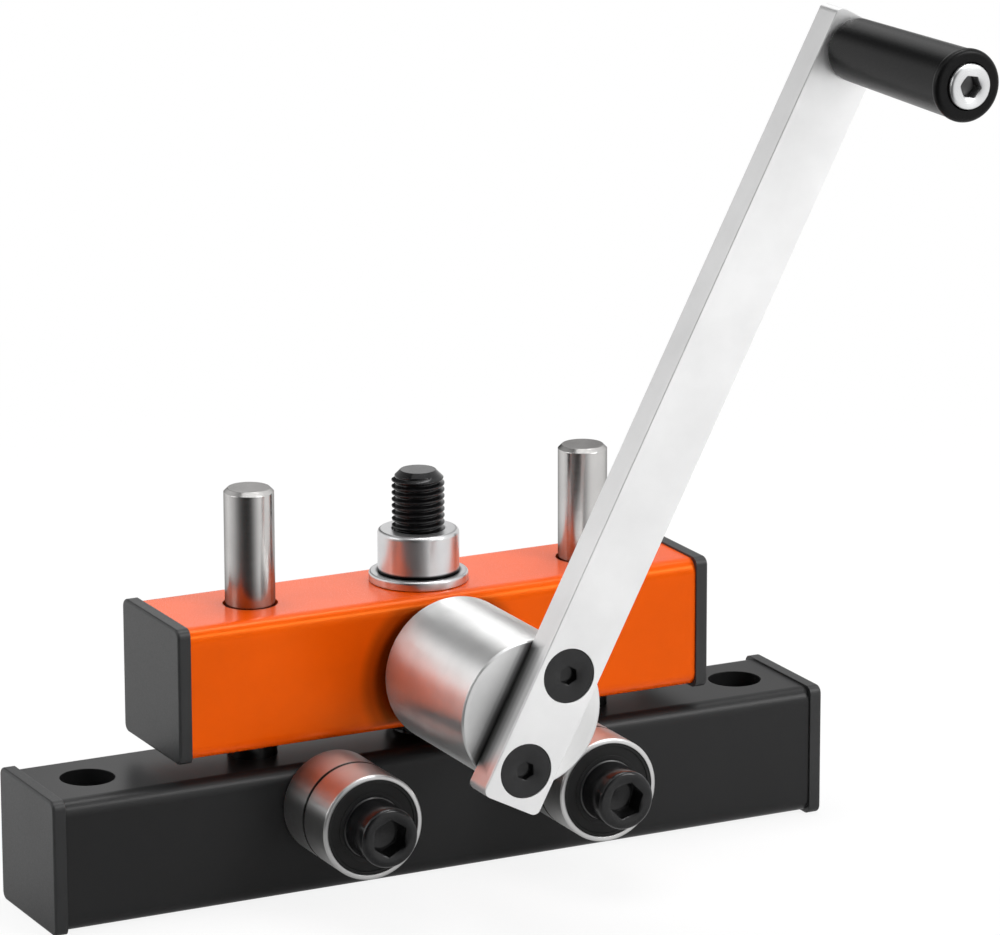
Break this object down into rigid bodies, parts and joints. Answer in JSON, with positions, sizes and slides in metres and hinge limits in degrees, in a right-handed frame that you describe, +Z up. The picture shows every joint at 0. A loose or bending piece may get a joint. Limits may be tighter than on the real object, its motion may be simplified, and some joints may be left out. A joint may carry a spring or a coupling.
{
  "type": "ring roller",
  "caption": "Hand-cranked ring roller: a driven roller on a sliding beam presses flat bar down onto ball bearing rollers on a fixed beam, to bend it into rings.",
  "frame": {"origin": "centre of the lower beam's underside, midway between its two bench holes", "axes": "+X along the beams to the right as seen from the crank, +Z up, and the crank and rollers stand out towards -Y"},
  "size_m": [0.2566, 0.1865, 0.2662],
  "materials": {
    "black_powder_coat": "satin black powder coat on steel tube",
    "orange_powder_coat": "gloss orange powder coat on steel tube",
    "grey_cap_plastic": "dark grey moulded plastic",
    "ground_pin_steel": "ground bright steel",
    "black_oxide_steel": "black oxide finish",
    "bright_zinc": "bright zinc plate",
    "dark_spring_steel": "oiled spring steel",
    "bearing_steel": "ground and polished bearing steel",
    "seal_rubber": "black sealing rubber",
    "turned_steel": "finely turned steel",
    "satin_aluminium": "satin flat bar",
    "black_grip_plastic": "smooth black moulded plastic"
  },
  "bodies": {
    "base": {"lower_beam": "black_powder_coat", "lower_cap_left": "grey_cap_plastic", "lower_cap_right": "grey_cap_plastic", "guide_pin_left": "ground_pin_steel", "guide_pin_right": "ground_pin_steel", "clamp_bolt": "black_oxide_steel", "lift_spring": "dark_spring_steel", "support_bolt_left": "black_oxide_steel", "support_bolt_right": "black_oxide_steel", "support_bolt_washers": "bright_zinc", "support_bolt_nuts": "bright_zinc", "support_shims": "bright_zinc", "left_rear_inner_ring": "bearing_steel", "left_front_inner_ring": "bearing_steel", "right_rear_inner_ring": "bearing_steel", "right_front_inner_ring": "bearing_steel"},
    "upper": {"upper_beam": "orange_powder_coat", "upper_cap_left": "grey_cap_plastic", "upper_cap_right": "grey_cap_plastic", "clamp_washer": "bright_zinc", "axle_screw": "black_oxide_steel", "axle_spacer": "bright_zinc", "axle_boss": "orange_powder_coat", "drive_rear_inner_ring": "bearing_steel", "drive_front_inner_ring": "bearing_steel"},
    "nut": {"clamp_nut": "bright_zinc"},
    "crank": {"drive_drum": "turned_steel", "drum_circlip": "dark_spring_steel", "crank_arm": "satin_aluminium", "arm_screws": "black_oxide_steel", "grip_bush": "bright_zinc", "grip_bolt": "bright_zinc", "drive_rear_outer_ring": "bearing_steel", "drive_rear_seals": "seal_rubber", "drive_front_outer_ring": "bearing_steel", "drive_front_seals": "seal_rubber"},
    "grip": {"crank_grip": "black_grip_plastic"},
    "left_rear_roller": {"left_rear_outer_ring": "bearing_steel", "left_rear_seals": "seal_rubber"},
    "left_front_roller": {"left_front_outer_ring": "bearing_steel", "left_front_seals": "seal_rubber"},
    "right_rear_roller": {"right_rear_outer_ring": "bearing_steel", "right_rear_seals": "seal_rubber"},
    "right_front_roller": {"right_front_outer_ring": "bearing_steel", "right_front_seals": "seal_rubber"},
    "left_rear_balls": {"left_rear_ball_set": "bearing_steel"},
    "left_front_balls": {"left_front_ball_set": "bearing_steel"},
    "right_rear_balls": {"right_rear_ball_set": "bearing_steel"},
    "right_front_balls": {"right_front_ball_set": "bearing_steel"},
    "drive_rear_balls": {"drive_rear_ball_set": "bearing_steel"},
    "drive_front_balls": {"drive_front_ball_set": "bearing_steel"}
  },
  "joints": [
    {"name": "beam_lift", "type": "slide", "parent": "base", "child": "upper", "axis": [0, 0, 1], "range_m": [-0.005, 0.015], "deforming": ["lift_spring"]},
    {"name": "clamp_nut_turn", "type": "hinge", "parent": "upper", "child": "nut", "pos_m": [0, 0, 0.0895], "axis": [0, 0, 1], "range_deg": [-905, 2705]},
    {"name": "crank_turn", "type": "hinge", "parent": "upper", "child": "crank", "pos_m": [0, -0.02, 0.0644], "axis": [0, -1, 0], "continuous": true},
    {"name": "grip_turn", "type": "hinge", "parent": "crank", "child": "grip", "pos_m": [0.09891, -0.0846, 0.2536], "axis": [0, -1, 0], "continuous": true},
    {"name": "left_rear_roll", "type": "hinge", "parent": "base", "child": "left_rear_roller", "pos_m": [-0.0389, -0.0203, 0.0281], "axis": [0, -1, 0], "continuous": true},
    {"name": "left_rear_cage_turn", "type": "hinge", "parent": "base", "child": "left_rear_balls", "pos_m": [-0.0389, -0.0203, 0.0281], "axis": [0, -1, 0], "continuous": true},
    {"name": "left_front_roll", "type": "hinge", "parent": "base", "child": "left_front_roller", "pos_m": [-0.0389, -0.0346, 0.0281], "axis": [0, -1, 0], "continuous": true},
    {"name": "left_front_cage_turn", "type": "hinge", "parent": "base", "child": "left_front_balls", "pos_m": [-0.0389, -0.0346, 0.0281], "axis": [0, -1, 0], "continuous": true},
    {"name": "right_rear_roll", "type": "hinge", "parent": "base", "child": "right_rear_roller", "pos_m": [0.0389, -0.0203, 0.0281], "axis": [0, -1, 0], "continuous": true},
    {"name": "right_rear_cage_turn", "type": "hinge", "parent": "base", "child": "right_rear_balls", "pos_m": [0.0389, -0.0203, 0.0281], "axis": [0, -1, 0], "continuous": true},
    {"name": "right_front_roll", "type": "hinge", "parent": "base", "child": "right_front_roller", "pos_m": [0.0389, -0.0346, 0.0281], "axis": [0, -1, 0], "continuous": true},
    {"name": "right_front_cage_turn", "type": "hinge", "parent": "base", "child": "right_front_balls", "pos_m": [0.0389, -0.0346, 0.0281], "axis": [0, -1, 0], "continuous": true},
    {"name": "drive_rear_cage_turn", "type": "hinge", "parent": "upper", "child": "drive_rear_balls", "pos_m": [0, -0.0227, 0.0644], "axis": [0, -1, 0], "continuous": true},
    {"name": "drive_front_cage_turn", "type": "hinge", "parent": "upper", "child": "drive_front_balls", "pos_m": [0, -0.0327, 0.0644], "axis": [0, -1, 0], "continuous": true}
  ],
  "couplings": [
    {"joint": "clamp_nut_turn", "follows": "beam_lift", "rad_per_m": 3141.6},
    {"joint": "left_rear_cage_turn", "follows": "left_rear_roll", "ratio": 0.6353},
    {"joint": "left_front_cage_turn", "follows": "left_front_roll", "ratio": 0.6353},
    {"joint": "right_rear_cage_turn", "follows": "right_rear_roll", "ratio": 0.6353},
    {"joint": "right_front_cage_turn", "follows": "right_front_roll", "ratio": 0.6353},
    {"joint": "drive_rear_cage_turn", "follows": "crank_turn", "ratio": 0.6353},
    {"joint": "drive_front_cage_turn", "follows": "crank_turn", "ratio": 0.6353}
  ]
}
